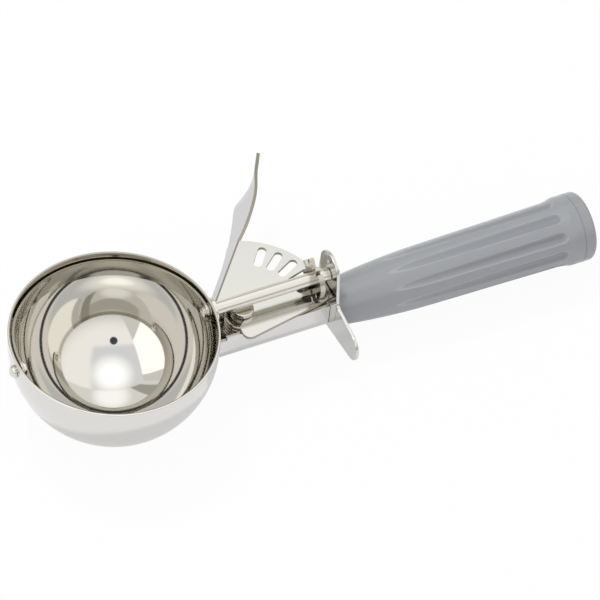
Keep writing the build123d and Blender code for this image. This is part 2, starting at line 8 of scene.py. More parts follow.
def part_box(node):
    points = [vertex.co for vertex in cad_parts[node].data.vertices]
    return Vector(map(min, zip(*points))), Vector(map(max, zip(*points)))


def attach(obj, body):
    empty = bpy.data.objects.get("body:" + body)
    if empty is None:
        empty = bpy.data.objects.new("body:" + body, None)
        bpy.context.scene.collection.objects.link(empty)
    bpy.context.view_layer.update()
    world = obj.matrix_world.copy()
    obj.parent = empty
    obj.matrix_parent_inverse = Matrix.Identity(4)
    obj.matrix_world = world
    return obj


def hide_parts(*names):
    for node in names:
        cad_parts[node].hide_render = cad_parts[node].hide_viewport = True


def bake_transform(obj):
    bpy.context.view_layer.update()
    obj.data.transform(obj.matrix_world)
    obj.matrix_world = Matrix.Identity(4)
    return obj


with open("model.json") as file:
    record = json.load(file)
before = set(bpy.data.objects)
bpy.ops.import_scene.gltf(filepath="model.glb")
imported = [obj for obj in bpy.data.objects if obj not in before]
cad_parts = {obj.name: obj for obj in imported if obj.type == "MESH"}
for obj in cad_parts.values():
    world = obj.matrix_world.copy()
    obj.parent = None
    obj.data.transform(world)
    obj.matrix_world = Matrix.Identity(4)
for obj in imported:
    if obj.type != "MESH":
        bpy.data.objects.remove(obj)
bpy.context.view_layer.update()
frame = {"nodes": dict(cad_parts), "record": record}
bpy.ops.object.select_all(action="DESELECT")

# ---------------------------------------------------------------- camera
# A long lens looks down into the bowl from the front left, with the grip to the right.
# Its place follows from the pixel on which the centre of the bowl's rim falls.

MM = 0.001
IMAGE_PIXELS = 600
FOCAL_PIXELS = 4000
RIM_PIXEL = (114.3, 332.0)
RIM_DISTANCE = 1348 * MM
SENSOR_WIDTH = 36.0
FURTHEST_SEEN = 20
CAMERA_TURN = radians(29.57)
CAMERA_DOWN = radians(49.83)
CAMERA_ROLL = radians(6.09)

bowl_low, bowl_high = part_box("bowl")
BOWL_R = (bowl_high.x - bowl_low.x) / 2
BOWL_X = (bowl_low.x + bowl_high.x) / 2
BOWL_Y = (bowl_low.y + bowl_high.y) / 2
rim_centre = Vector((BOWL_X, BOWL_Y, bowl_high.z))

turn = Matrix.Rotation(-CAMERA_TURN, 3, "Z")
forward = turn @ Vector((0, cos(CAMERA_DOWN), -sin(CAMERA_DOWN)))
level = turn @ Vector((1, 0, 0))
above = level.cross(forward)
right = level * cos(CAMERA_ROLL) + above * sin(CAMERA_ROLL)
up = above * cos(CAMERA_ROLL) - level * sin(CAMERA_ROLL)
across, down = [(pixel - IMAGE_PIXELS / 2) / FOCAL_PIXELS * RIM_DISTANCE for pixel in RIM_PIXEL]

camera_data = bpy.data.cameras.new("camera")
camera_data.sensor_width = SENSOR_WIDTH
camera_data.lens = FOCAL_PIXELS / IMAGE_PIXELS * SENSOR_WIDTH
camera_data.clip_end = FURTHEST_SEEN
camera = bpy.data.objects.new("camera", camera_data)
bpy.context.scene.collection.objects.link(camera)
camera.matrix_world = Matrix((right, up, -forward)).transposed().to_4x4()
camera.location = rim_centre - forward * RIM_DISTANCE - right * across + up * down
bpy.context.scene.camera = camera

# ---------------------------------------------------------------- studio
# A square tent of white cloth with a lamp over its roof, one behind its back wall and a
# bright panel in its left wall. Polished metal mirrors these, and the paper on the floor
# takes the shadow.

# The walls stand at these distances from the scoop, for a roof one unit above it.
LEFT_WALL = 0.6
RIGHT_WALL = 0.5
BACK_WALL = 0.31
NEAR_WALL = 0.75
TENT_TURN = radians(17.5)
SEAM = 0.03
SOFT_LIGHT = 0.62

OVERHEAD = (0, 0, 1)
BACK_LAMP = (0.19, 0.41, 0.89)
LAMP_STAND = (0.60, 0.09, 0.79)
OPERATOR = (-0.268, -0.571, 0.776)

FLOOR_SIZE = 6
PAPER_WHITE = "#F4F4F5"
SEEN_SHARE = 0.95
MIRRORED_SHARE = 0.28
LIGHT_BOUNCES = 32


def linear(code, gain=1.0):
    """Scene colour from an sRGB hex code."""
    channels = [int(code[k:k + 2], 16) / 255 for k in (1, 3, 5)]
    channels = [c / 12.92 if c <= 0.04045 else ((c + 0.055) / 1.055) ** 2.4 for c in channels]
    return (*[c * gain for c in channels], 1)


def add(tree, kind, settings=None, links=None):
    """Adds a node; links gives its inputs an output socket or a value."""
    node = tree.nodes.new(kind)
    for name, value in (settings or {}).items():
        setattr(node, name, value)
    for name, value in (links or {}).items():
        if isinstance(value, bpy.types.NodeSocket):
            tree.links.new(value, node.inputs[name])
        else:
            node.inputs[name].default_value = value
    return node


def empty_tree(owner):
    owner.use_nodes = True
    owner.node_tree.nodes.clear()
    return owner.node_tree


def side(east=0.0, north=0.0, height=0.0, soft=SEAM):
    """Limit of a patch: a ray's parts to the east, north and up, times these, sum to over 0."""
    return (east, north, height), 0.0, soft


def disc(middle, edge, core):
    """Limit of a round patch: it starts and is full at these degrees from its middle."""
    turned_middle = Matrix.Rotation(TENT_TURN, 3, "Z") @ Vector(middle)
    return turned_middle, cos(radians(edge)), cos(radians(core))


# The patches of the tent that the metal mirrors, painted one over the other.
back_wall = side(north=1, height=-BACK_WALL, soft=0.06)
left_wall = side(east=-1, height=-LEFT_WALL)
patches = (
    # The walls grow brighter towards the roof.
    ([(OVERHEAD, 0.1, 0.66)], linear("#FFFDFA", 1.16)),
    # The roof, as far as its seams with the right wall and the near wall.
    ([side(east=-1 / RIGHT_WALL, height=1, soft=0.3),
      side(north=1 / NEAR_WALL, height=1, soft=0.2)], linear("#F0F2F7")),
    # The lamp over the roof: the glow in the cloth, then its middle.
    ([disc(OVERHEAD, edge=27, core=4)], linear("#FFFFFF", 1.45)),
    ([disc(OVERHEAD, edge=13, core=3)], linear("#FFFFFF", 1.9)),
    # The back wall, and the glow of the lamp behind it.
    ([back_wall], linear("#F4F4EF")),
    ([back_wall, disc(BACK_LAMP, edge=22, core=6)], linear("#FFFFFF", 1.32)),
    # A grey band low on the back wall.
    ([side(north=1, height=-1 / 1.1, soft=0.08), side(north=-0.22, height=1, soft=0.2),
      side(east=1 / 1.9, north=1), side(east=-1 / 1.6, north=1, soft=0.2)], linear("#D2D0C6")),
    # The left wall.
    ([left_wall, side(east=-1, north=-LEFT_WALL / BACK_WALL)], linear("#E6E5E2")),
    # The shaded corner between the left wall and the back wall.
    ([side(east=0.62, north=1), side(east=-1, north=-0.85), side(north=1, height=-0.33)],
     linear("#B3B2A9")),
    # The bright panel in the left wall.
    ([left_wall, side(east=0.3, height=1), side(east=-1, north=-4.2),
      side(east=-1, north=1 / 1.28)], linear("#FFFEFA", 1.5)),
    # A lamp stand on the far side, and the operator at the camera.
    ([disc(LAMP_STAND, edge=5, core=2)], linear("#A9AAAB")),
    ([disc(OPERATOR, edge=4.9, core=3.9)], linear("#484A50")),
)

world = bpy.data.worlds.new("studio")
bpy.context.scene.world = world
tree = empty_tree(world)
way = add(tree, "ShaderNodeTexCoord").outputs["Generated"]
way = add(tree, "ShaderNodeVectorRotate", {"rotation_type": "Z_AXIS"},
          {"Vector": way, "Angle": TENT_TURN}).outputs[0]
room = linear("#BDBCB7")
for limits, colour in patches:
    inside = 1.0
    for direction, low, high in limits:
        reach = add(tree, "ShaderNodeVectorMath", {"operation": "DOT_PRODUCT"},
                    {0: way, 1: direction}).outputs["Value"]
        inside = add(tree, "ShaderNodeMapRange", {"interpolation_type": "SMOOTHSTEP"}, {
            "Value": reach, "From Min": low, "From Max": high, "To Max": inside}).outputs[0]
    room = add(tree, "ShaderNodeMixRGB", links={
        "Fac": inside, "Color1": room, "Color2": colour}).outputs[0]
# Matt surfaces take less of the tent's light than the metal mirrors, so both keep their tone.
matt_ray = add(tree, "ShaderNodeLightPath").outputs["Is Diffuse Ray"]
strength = add(tree, "ShaderNodeMapRange", links={
    "Value": matt_ray, "To Min": 1.0, "To Max": SOFT_LIGHT}).outputs[0]
background = add(tree, "ShaderNodeBackground", links={"Color": room, "Strength": strength})
add(tree, "ShaderNodeOutputWorld", links={"Surface": background.outputs[0]})

# Seamless white paper, pressed smooth and uncoated, so it is matt and shows only the soft
# shadow. The metal mirrors it dimmer than it is seen, as paper that lies in the shade.
paper = bpy.data.materials.new("white_paper")
tree = empty_tree(paper)
ray = add(tree, "ShaderNodeLightPath").outputs
mirrored = add(tree, "ShaderNodeMath", {"operation": "MAXIMUM"},
               {0: ray["Is Glossy Ray"], 1: ray["Is Transmission Ray"]}).outputs[0]
mirrored = add(tree, "ShaderNodeMath", {"operation": "MULTIPLY"},
               {0: mirrored, 1: MIRRORED_SHARE}).outputs[0]
share = add(tree, "ShaderNodeMath", {"operation": "MULTIPLY_ADD"},
            {0: ray["Is Camera Ray"], 1: SEEN_SHARE, 2: mirrored}).outputs[0]
shine = add(tree, "ShaderNodeMixRGB", links={
    "Fac": ray["Is Camera Ray"], "Color1": linear("#F4F5FF", 1.32), "Color2": linear("#FFFFFF")})
matt = add(tree, "ShaderNodeBsdfDiffuse", links={"Color": linear(PAPER_WHITE)})
lit = add(tree, "ShaderNodeEmission", links={"Color": shine.outputs[0], "Strength": 1.0})
sheet = add(tree, "ShaderNodeMixShader", links={0: share, 1: matt.outputs[0], 2: lit.outputs[0]})
add(tree, "ShaderNodeOutputMaterial", links={"Surface": sheet.outputs[0]})

bpy.ops.mesh.primitive_plane_add(size=FLOOR_SIZE, location=(0, 0, 0))
floor = bpy.context.object
floor.name = "floor"
floor.data.materials.append(paper)


def soft_lamp(name, place, size, watts):
    """Square lamp turned to the scoop, which lights matt surfaces and isn't mirrored."""
    data = bpy.data.lights.new(name, "AREA")
    data.size = size
    data.energy = watts
    lamp = bpy.data.objects.new(name, data)
    bpy.context.scene.collection.objects.link(lamp)
    lamp.location = place
    lamp.rotation_euler = (-Vector(place)).to_track_quat("-Z", "Y").to_euler()
    lamp.visible_glossy = False


soft_lamp("lamp_over", place=(-0.25, 0.55, 1.5), size=0.25, watts=8)
soft_lamp("lamp_near", place=(-0.8, -0.9, 1.2), size=0.9, watts=4)

bpy.context.scene.view_settings.view_transform = "Standard"
# Deep inside the bowl the light goes from wall to blade and back many times.
bpy.context.scene.cycles.max_bounces = LIGHT_BOUNCES
bpy.context.scene.cycles.glossy_bounces = LIGHT_BOUNCES


# ---------------------------------------------------------------- bowl
# Deep drawn from stainless sheet with a short straight band, its rim rounded off, then
# polished inside and out on a lathe, so the fine polishing lines run round its axis.

BOWL_WALL = 1.0 * MM
RIM_ROUND = 0.35 * MM
RIM_STEPS = 5
BAND_HEIGHT = 4.5 * MM
BOWL_RINGS = 72
BOWL_STEPS = 240
PIN_HOLE_R = 1.52 * MM
BUSH_HOLE_R = 3.37 * MM
HOLE_SIDES = 64
HOLE_FROM = 0.8
HOLE_TO = 1.1
WELD = 0.002 * MM
POLISH_LINE = 0.25 * MM
POLISH_ROUGH = (0.02, 0.08)
POLISHED_STEEL = "#DBD9D3"
# The painted band inside the rim: the depth in the wall and the height over the shaft's axis
# where it starts and where it is full, and the part of each painted ring that is bright.
PAINTED_RING_SPACING = 1.2 * MM
PAINTED_BAND_DEPTH = (0.35 * MM, 0.75 * MM)
PAINTED_BAND_HEIGHT = (0.2 * MM, 1.2 * MM)
PAINTED_RING_BRIGHT = (0.2, 0.95)
BAND_REFLECTION_DARK_STEEL, BAND_REFLECTION_LIGHT_STEEL = "#A09A8F", "#CAC5BB"

body_of = {node: body for body, nodes in frame["record"]["behaviour"]["bodies"].items()
           for node in nodes}
AXIS_Z = bowl_high.z - BAND_HEIGHT
bowl_centre = Vector((BOWL_X, BOWL_Y, AXIS_Z))


def only(piece):
    """Leaves one piece selected and active."""
    bpy.ops.object.select_all(action="DESELECT")
    piece.select_set(True)
    bpy.context.view_layer.objects.active = piece


def finish_piece(piece, node, *materials, sharp=30):
    """Smooths a piece, gives it its materials and puts it in its CAD node's place."""
    only(piece)
    bpy.ops.object.shade_smooth_by_angle(angle=radians(sharp))
    flats = piece.modifiers.new("flats", "WEIGHTED_NORMAL")
    flats.weight = 100
    flats.keep_sharp = True
    bpy.ops.object.modifier_apply(modifier=flats.name)
    piece.data.materials.clear()
    for material in materials:
        piece.data.materials.append(material)
    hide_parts(node)
    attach(piece, body_of[node])


def turned(name, section, centre, axis, steps):
    """Spins a half section, drawn one corner after another, round an axis."""
    bpy.ops.mesh.primitive_plane_add(size=MM, location=(0, 0, 0))
    piece = bpy.context.object
    piece.name = name
    bpy.ops.object.mode_set(mode="EDIT")
    bpy.ops.mesh.select_all(action="SELECT")
    bpy.ops.mesh.merge(type="CENTER")
    bpy.ops.transform.translate(value=section[0])
    for last, place in zip(section, section[1:]):
        bpy.ops.mesh.extrude_region_move(TRANSFORM_OT_translate={"value": place - last})
    bpy.ops.mesh.select_all(action="SELECT")
    bpy.ops.mesh.spin(steps=steps, angle=2 * pi, center=centre, axis=axis)
    bpy.ops.mesh.select_all(action="SELECT")
    bpy.ops.mesh.remove_doubles(threshold=WELD)
    bpy.ops.mesh.normals_make_consistent(inside=False)
    bpy.ops.object.mode_set(mode="OBJECT")
    return piece


def combine(piece, other, operation):
    """Joins another solid to the piece or cuts it out, and uses it up."""
    only(piece)
    change = piece.modifiers.new("change", "BOOLEAN")
    change.operation = operation
    change.object = other
    change.solver = "EXACT"
    bpy.ops.object.modifier_apply(modifier=change.name)
    bpy.data.objects.remove(other)


def drill(piece, radius, start, end):
    """Round hole from start to end."""
    middle, length = (start + end) / 2, end - start
    bpy.ops.mesh.primitive_cylinder_add(
        vertices=HOLE_SIDES, radius=radius, depth=length.length, location=middle,
        rotation=length.to_track_quat("Z", "Y").to_euler())
    combine(piece, bpy.context.object, "DIFFERENCE")


def bowl_section():
    """Half section of the wall, from the outside of the pole over the rim to the inside."""
    inner_r = BOWL_R - BOWL_WALL
    places = []
    for k in range(BOWL_RINGS + 1):
        turned_by = pi / 2 * k / BOWL_RINGS
        places.append((BOWL_R * sin(turned_by), -BOWL_R * cos(turned_by)))
    for centre_r, first in ((BOWL_R - RIM_ROUND, 0), (inner_r + RIM_ROUND, pi / 2)):
        for k in range(RIM_STEPS + 1):
            turned_by = first + pi / 2 * k / RIM_STEPS
            places.append((centre_r + RIM_ROUND * cos(turned_by),
                           BAND_HEIGHT - RIM_ROUND + RIM_ROUND * sin(turned_by)))
    for k in range(BOWL_RINGS + 1):
        turned_by = pi / 2 * (1 - k / BOWL_RINGS)
        places.append((inner_r * sin(turned_by), -inner_r * cos(turned_by)))
    return [bowl_centre + Vector((reach, 0, height)) for reach, height in places]


# Stainless steel, buffed on a lathe: a mirror, a little softer along the rings that the buff
# leaves. The real rings are under 0.05 mm apart, and are drawn coarser so that they show.
# Inside the rim a band is painted darker, in rings of a darker and a lighter grey that are
# painted reflection, drawn 1.2 mm apart.
polished = bpy.data.materials.new("polished_stainless_steel")
tree = empty_tree(polished)
place = add(tree, "ShaderNodeTexCoord").outputs["Object"]
local = add(tree, "ShaderNodeMapping", links={
    "Vector": place, "Location": (-BOWL_X, -BOWL_Y, 0)}).outputs[0]
flat = add(tree, "ShaderNodeVectorMath", {"operation": "MULTIPLY"},
           {0: local, 1: (1, 1, 0)}).outputs[0]
reach = add(tree, "ShaderNodeVectorMath", {"operation": "LENGTH"}, {0: flat}).outputs["Value"]
rise = add(tree, "ShaderNodeSeparateXYZ", links={"Vector": local}).outputs["Z"]
rings = add(tree, "ShaderNodeCombineXYZ", links={"X": reach, "Z": rise}).outputs[0]
lines = add(tree, "ShaderNodeTexNoise", links={
    "Vector": rings, "Scale": 1 / POLISH_LINE, "Detail": 2.0})
rough = add(tree, "ShaderNodeMapRange", links={
    "Value": lines.outputs["Fac"], "To Min": POLISH_ROUGH[0], "To Max": POLISH_ROUGH[1]})
# The band inside the rim is painted reflection: darker, in light and dark rings.
inside = add(tree, "ShaderNodeMapRange", {"interpolation_type": "SMOOTHSTEP"}, {
    "Value": reach, "From Min": BOWL_R - PAINTED_BAND_DEPTH[0],
    "From Max": BOWL_R - PAINTED_BAND_DEPTH[1]}).outputs[0]
painted_band_share = add(tree, "ShaderNodeMapRange", {"interpolation_type": "SMOOTHSTEP"}, {
    "Value": rise, "From Min": AXIS_Z + PAINTED_BAND_HEIGHT[0],
    "From Max": AXIS_Z + PAINTED_BAND_HEIGHT[1], "To Max": inside}).outputs[0]
swing = add(tree, "ShaderNodeMath", {"operation": "MULTIPLY"},
            {0: rise, 1: 2 * pi / PAINTED_RING_SPACING}).outputs[0]
swing = add(tree, "ShaderNodeMath", {"operation": "SINE"}, {0: swing}).outputs[0]
bright = add(tree, "ShaderNodeMapRange", {"interpolation_type": "SMOOTHSTEP"}, {
    "Value": swing, "From Min": PAINTED_RING_BRIGHT[0], "From Max": PAINTED_RING_BRIGHT[1]}).outputs[0]
painted_band_reflection = add(tree, "ShaderNodeMixRGB", links={
    "Fac": bright, "Color1": linear(BAND_REFLECTION_DARK_STEEL),
    "Color2": linear(BAND_REFLECTION_LIGHT_STEEL)}).outputs[0]
colour = add(tree, "ShaderNodeMixRGB", links={
    "Fac": painted_band_share, "Color1": linear(POLISHED_STEEL), "Color2": painted_band_reflection}).outputs[0]
shader = add(tree, "ShaderNodeBsdfPrincipled", links={
    "Base Color": colour, "Metallic": 1.0, "Roughness": rough.outputs[0]})
add(tree, "ShaderNodeOutputMaterial", links={"Surface": shader.outputs[0]})

bowl = turned("spun_bowl", bowl_section(), bowl_centre, (0, 0, 1), BOWL_STEPS)
for hole_r, start, end in ((PIN_HOLE_R, -HOLE_TO, -HOLE_FROM), (BUSH_HOLE_R, HOLE_FROM, HOLE_TO)):
    drill(bowl, hole_r, bowl_centre + Vector((BOWL_R * start, 0, 0)),
          bowl_centre + Vector((BOWL_R * end, 0, 0)))
finish_piece(bowl, "bowl", polished)


# ---------------------------------------------------------------- scraper blade and pivots
# Half ring cut and pressed from thin stainless strip, tumbled so its edges are soft. It
# turns on a rivet at the front and is peened to the shaft at the back, over steel washers.

BLADE_EDGE = 0.1 * MM
BACK_FACING = 0.8
STILL_FLAT = radians(1)
# Rolled and drawn steel is never quite flat: a slow wave bends what it mirrors.
WAVE_SIZE = 9 * MM
WAVE_DEPTH = 0.06 * MM
WAVE_STRENGTH = 0.3
GRAIN_STRENGTH = 0.35


def merged(name, node):
    """A copy of a CAD node with its corners joined and its flat faces whole."""
    piece = bpy.data.objects.new(name, frame["nodes"][node].data.copy())
    bpy.context.scene.collection.objects.link(piece)
    only(piece)
    bpy.ops.object.mode_set(mode="EDIT")
    bpy.ops.mesh.select_all(action="SELECT")
    bpy.ops.mesh.remove_doubles(threshold=WELD)
    bpy.ops.mesh.dissolve_limited(angle_limit=STILL_FLAT)
    bpy.ops.object.mode_set(mode="OBJECT")
    return piece


def soften(piece, width, limit=40, segments=2):
    """Rounds the piece's sharp edges."""
    only(piece)
    edge = piece.modifiers.new("edge", "BEVEL")
    edge.width = width
    edge.segments = segments
    edge.limit_method = "ANGLE"
    edge.angle_limit = radians(limit)
    bpy.ops.object.modifier_apply(modifier=edge.name)


def steel(name, code, rough, grain, relief, stretch=(1, 1, 1), metallic=1.0):
    """Steel whose gloss and relief vary with a grain of a real size and depth."""
    material = bpy.data.materials.new(name)
    tree = empty_tree(material)
    place = add(tree, "ShaderNodeTexCoord").outputs["Object"]
    local = add(tree, "ShaderNodeMapping", links={"Vector": place, "Scale": stretch}).outputs[0]
    fine = add(tree, "ShaderNodeTexNoise", links={
        "Vector": local, "Scale": 1 / grain, "Detail": 3.0}).outputs["Fac"]
    wide = add(tree, "ShaderNodeTexNoise", links={
        "Vector": place, "Scale": 1 / WAVE_SIZE, "Detail": 1.0}).outputs["Fac"]
    gloss = add(tree, "ShaderNodeMapRange", links={
        "Value": fine, "To Min": rough[0], "To Max": rough[1]})
    bump = add(tree, "ShaderNodeBump", links={
        "Height": fine, "Strength": GRAIN_STRENGTH, "Distance": relief})
    bump = add(tree, "ShaderNodeBump", links={
        "Height": wide, "Strength": WAVE_STRENGTH, "Distance": WAVE_DEPTH,
        "Normal": bump.outputs[0]})
    shader = add(tree, "ShaderNodeBsdfPrincipled", links={
        "Base Color": linear(code), "Metallic": metallic, "Roughness": gloss.outputs[0],
        "Normal": bump.outputs[0]})
    add(tree, "ShaderNodeOutputMaterial", links={"Surface": shader.outputs[0]})
    return material


def dress(node, material):
    """Gives a CAD node that is kept its material."""
    mesh = frame["nodes"][node].data
    mesh.materials.clear()
    mesh.materials.append(material)


# Stainless strip, cold rolled between bright rolls: nearly as clear a mirror as the bowl.
# Its grain is far finer than 0.3 mm in the real strip, and is drawn coarser so that it shows.
strip_steel = steel("rolled_stainless_strip", "#BFBCB2", rough=(0.05, 0.1), grain=0.3 * MM,
                    relief=0.0015 * MM)
# The same strip where it faces the wall, which no buff reaches: pickled matt, and painted a dull
# brown at half its shine as painted shade, so the narrow gap beside it shows dark brown. Its
# grain is drawn at 0.2 mm, coarser than it is.
back_with_painted_gap_shade = steel("matt_strip_back", "#9C8E7A", rough=(0.4, 0.6), grain=0.2 * MM,
                   relief=0.01 * MM, metallic=0.5)
blade = merged("scraper_strip", "scraper_blade")
soften(blade, BLADE_EDGE)
finish_piece(blade, "scraper_blade", strip_steel, back_with_painted_gap_shade, sharp=35)
# Faces turned to the wall take the brown painted shade of the gap.
for face in blade.data.polygons:
    outward = (face.center - bowl_centre).normalized()
    face.material_index = int(face.normal.dot(outward) > BACK_FACING)

# Turned steel with bright nickel plate: the plate levels the tool's marks, so small parts
# show clean, slightly soft highlights. The marks left are drawn coarser than they are.
plated = steel("bright_plated_steel", "#DBD9D2", rough=(0.08, 0.16), grain=0.25 * MM,
               relief=0.003 * MM)
for node in ("blade_washer", "front_pivot_pin", "pivot_washer"):
    dress(node, plated)


# ---------------------------------------------------------------- scraper shaft
# Bright drawn steel rod, nickel plated, turned down at both ends: peened inside the blade
# and held behind the guard by a pressed-on cap. It runs in a flanged bush in the bowl.

# Drawing leaves fine scores along the rod under the plate, so its highlight is one long
# soft stripe. The scores are drawn ten times as long as wide, and coarser than they are.
drawn = steel("nickel_plated_bright_rod", "#DDDAD2", rough=(0.15, 0.24), grain=0.2 * MM,
              relief=0.003 * MM, stretch=(0.1, 1, 1))
for node in ("scraper_shaft", "shaft_bush", "shaft_retainer"):
    dress(node, drawn)


# ---------------------------------------------------------------- pinion
# Small gear stamped from steel and plated, pressed on the shaft beside the guard. Its teeth
# are rubbed by the sector, so it is duller than the rest.

PINION_EDGE = 0.12 * MM

# Stamped steel, barrel plated and then rubbed in use: greyer than the shaft, with an uneven
# gloss. The scuffs are drawn at 0.2 mm, coarser than most of the real ones.
gear = steel("worn_plated_gear_steel", "#C6C1B5", rough=(0.12, 0.24), grain=0.2 * MM,
             relief=0.005 * MM)
pinion = merged("pinion_gear", "pinion")
soften(pinion, PINION_EDGE)
finish_piece(pinion, "pinion", gear)


# ---------------------------------------------------------------- lever
# One blank of stainless sheet, sheared and pierced, then folded along its straight edge and
# drawn out to a thumb paddle. Tumbling leaves the faces softly bright and the edges round.

LEVER_EDGE = 0.18 * MM
FOLD_TURN = radians(50)
FOLD_OFFSET = 9.5 * MM
FOLD_END = 30.6 * MM
FOLD_MARGIN = 0.1 * MM
BEND_WIDTH = 1 * MM
PLATE_FACING = 0.5
FLANGE_FACING = 0.68

pin_low, pin_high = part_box("lever_pin")
PIN_X, PIN_Y = (pin_low.x + pin_high.x) / 2, (pin_low.y + pin_high.y) / 2
PLATE_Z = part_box("spacer_sleeve")[1].z


def from_fold(face):
    """How far a face lies along the fold and to the side of it."""
    off = face.center - Vector((PIN_X, PIN_Y, PLATE_Z))
    return (off.x * cos(FOLD_TURN) + off.y * sin(FOLD_TURN),
            off.y * cos(FOLD_TURN) - off.x * sin(FOLD_TURN))


def is_folded_up(face):
    """True on the part of the sheet that is folded up from the sector, and on the paddle."""
    along, aside = from_fold(face)
    return along > FOLD_END or aside > FOLD_OFFSET + FOLD_MARGIN


def is_sheared(face):
    """True on the walls that the shears and punches left, and false on the sheet's faces."""
    if is_folded_up(face):
        outward = face.normal.y * cos(FOLD_TURN) - face.normal.x * sin(FOLD_TURN)
        return abs(outward) < FLANGE_FACING
    return abs(face.normal.z) < PLATE_FACING and from_fold(face)[1] < FOLD_OFFSET - BEND_WIDTH


# Stainless sheet, cold rolled and then tumbled with ceramic stones: bright, but it blurs what
# it mirrors. The pits of the stones are drawn at 0.35 mm, coarser than they are.
sheet_steel = steel("tumbled_stainless_sheet", "#D7D6D1", rough=(0.11, 0.19), grain=0.35 * MM,
                    relief=0.006 * MM)
# The same sheet on the walls of its cut: half sheared, half torn, so dull, and painted darker
# as painted shade on the cut's walls. The streaks across the sheet are drawn coarser than the
# real ones.
sheared_and_shaded = steel("sheared_stainless_edge", "#A8A296", rough=(0.3, 0.5), grain=0.15 * MM,
                relief=0.02 * MM, stretch=(1, 1, 0.3))
# The folded part and the paddle, rubbed by the thumb: fine scratches all ways make it
# satin and a little greyer. They are drawn at 0.4 mm, coarser than they are.
thumb_worn = steel("thumb_worn_stainless_sheet", "#C8C7C6", rough=(0.16, 0.28), grain=0.4 * MM,
                   relief=0.006 * MM)

lever = merged("thumb_lever", "lever")
soften(lever, LEVER_EDGE)
finish_piece(lever, "lever", sheet_steel, sheared_and_shaded, thumb_worn)
for face in lever.data.polygons:
    # The cut walls take the dull sheared steel, painted darker as painted shade.
    face.material_index = 1 if is_sheared(face) else 2 if is_folded_up(face) else 0


# ---------------------------------------------------------------- lever pin
# Turned steel rivet with a flat round head over the sector, plated before it was peened
# under the trough. A plain steel sleeve on it keeps the sector clear of the spring.

HEAD_R = 3.8 * MM
HEAD_HEIGHT = 1.9 * MM
HEAD_ROUND = 0.35 * MM
HEAD_SIDES = 96
HEAD_BASE = pin_high.z - HEAD_HEIGHT
NECK_CUT = 0.05 * MM
NECK_LAP = 0.4 * MM

lever_pin = merged("lever_rivet", "lever_pin")
only(lever_pin)
bpy.ops.object.mode_set(mode="EDIT")
bpy.ops.mesh.select_all(action="SELECT")
bpy.ops.mesh.bisect(plane_co=(PIN_X, PIN_Y, HEAD_BASE - NECK_CUT), plane_no=(0, 0, 1),
                    clear_outer=True, use_fill=True, threshold=WELD / 2)
bpy.ops.transform.translate(value=(0, 0, NECK_LAP))
bpy.ops.object.mode_set(mode="OBJECT")
bpy.ops.mesh.primitive_cylinder_add(vertices=HEAD_SIDES, radius=HEAD_R, depth=HEAD_HEIGHT,
                                    location=(PIN_X, PIN_Y, HEAD_BASE + HEAD_HEIGHT / 2))
head = bpy.context.object
soften(head, HEAD_ROUND, segments=4)
combine(lever_pin, head, "UNION")
finish_piece(lever_pin, "lever_pin", plated)
dress("spacer_sleeve", plated)


# ---------------------------------------------------------------- return spring
# Torsion spring wound from hard drawn wire, four open turns round the sleeve. One leg bears
# on the trough's near wall, the other is hooked up through the sector.

COIL_R = 5.4 * MM
WIRE_R = 0.65 * MM
COIL_TURNS = 4
COIL_PITCH = 1.7 * MM
COIL_STEPS = 56
COIL_GAP = 0.9 * MM
LEG_LENGTH = 6.8 * MM
LEG_STEPS = 4
HOOK_REACH = 2.6 * MM
HOOK_RISE = 2.45 * MM
HOOK_ROUND = 1.0 * MM
HOOK_STEPS = 6
HOOK_TURN = radians(6)
COIL_TOP = PLATE_Z - COIL_GAP
COIL_BOTTOM = COIL_TOP - COIL_TURNS * COIL_PITCH


def spring_path():
    """Centre line of the wire from the end of its leg to the tip of its hook."""
    out = Vector((cos(HOOK_TURN), sin(HOOK_TURN), 0))
    along = Vector((-out.y, out.x, 0))
    middle = Vector((PIN_X, PIN_Y, 0))
    slope = COIL_PITCH / (2 * pi * COIL_R)
    start = middle + out * COIL_R + Vector((0, 0, COIL_BOTTOM))
    leg = (along + Vector((0, 0, slope))) * LEG_LENGTH
    path = [start - leg * (1 - k / LEG_STEPS) for k in range(LEG_STEPS)]
    for k in range(COIL_TURNS * COIL_STEPS + 1):
        turned_by = HOOK_TURN + 2 * pi * k / COIL_STEPS
        path.append(middle + Vector((COIL_R * cos(turned_by), COIL_R * sin(turned_by),
                                     COIL_BOTTOM + COIL_PITCH * k / COIL_STEPS)))
    corner = path[-1] + along * HOOK_REACH
    for k in range(HOOK_STEPS + 1):
        turned_by = pi / 2 * k / HOOK_STEPS
        path.append(corner - along * HOOK_ROUND * (1 - sin(turned_by))
                    + Vector((0, 0, HOOK_ROUND * (1 - cos(turned_by)))))
    path.append(corner + Vector((0, 0, HOOK_RISE)))
    return path


# Spring steel wire, hard drawn through dies and left bare: grey, with a dull drawn gloss.
# Its die lines are drawn at 0.15 mm, coarser than they are.
wire = steel("hard_drawn_spring_wire", "#B9B3A7", rough=(0.12, 0.24), grain=0.15 * MM,
             relief=0.004 * MM)
path = spring_path()
curve = bpy.data.curves.new("return_coil", "CURVE")
curve.dimensions = "3D"
curve.bevel_depth = WIRE_R
curve.bevel_resolution = 5
curve.use_fill_caps = True
strand = curve.splines.new("POLY")
strand.points.add(len(path) - 1)
for point, place in zip(strand.points, path):
    point.co = (*place, 1)
spring = bpy.data.objects.new("return_coil", curve)
bpy.context.scene.collection.objects.link(spring)
only(spring)
bpy.ops.object.convert(target="MESH")
spring = bpy.context.object
bpy.ops.object.shade_smooth_by_angle(angle=radians(40))
spring.data.materials.clear()
spring.data.materials.append(wire)
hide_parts("return_spring")
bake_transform(spring)


# ---------------------------------------------------------------- shank
# Trough pressed to a U from the same stainless sheet, coped to the bowl and spot welded to
# it. A short socket of the same section stands on the guard, with a fine seam between.

